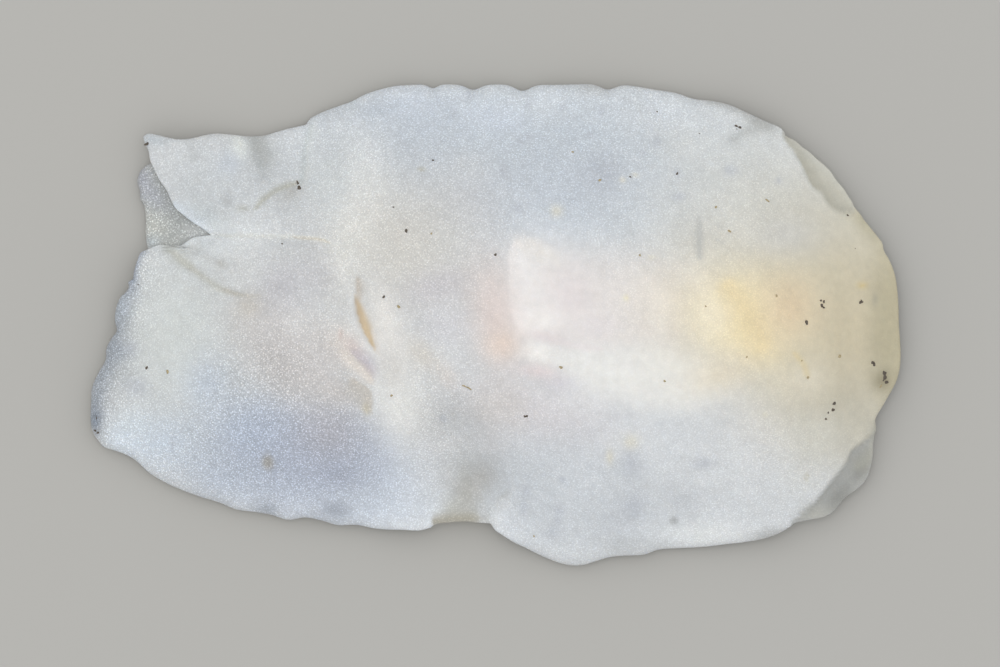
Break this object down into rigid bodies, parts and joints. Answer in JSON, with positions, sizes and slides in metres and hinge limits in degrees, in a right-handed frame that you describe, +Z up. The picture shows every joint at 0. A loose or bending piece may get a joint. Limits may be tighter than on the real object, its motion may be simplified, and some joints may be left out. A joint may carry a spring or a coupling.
{
  "type": "oriental sea slug model",
  "caption": "Limp, flattened sea slug with a broad head shield, side lobes and a notched tail, lying on its flat foot.",
  "frame": {"origin": "middle of the outline, on the ground plane that the sole rests on", "axes": "+X towards the head, +Y towards the animal's left side, +Z up out of the back"},
  "size_m": [0.0324, 0.0193, 0.0053],
  "materials": {
    "front_skin": "wet, translucent milky white flesh, ochre towards the head",
    "tail_skin": "wet, translucent bluish white flesh with fine white granules",
    "under_skin": "wet, greyish translucent flesh"
  },
  "bodies": {
    "root": {"foot": "under_skin", "pallial_lobe": "under_skin", "head_shield": "front_skin", "parapodium_left": "front_skin", "parapodium_right": "front_skin", "mantle_shield": "tail_skin", "tail_lobe_left": "tail_skin", "tail_lobe_right": "tail_skin"}
  },
  "joints": []
}
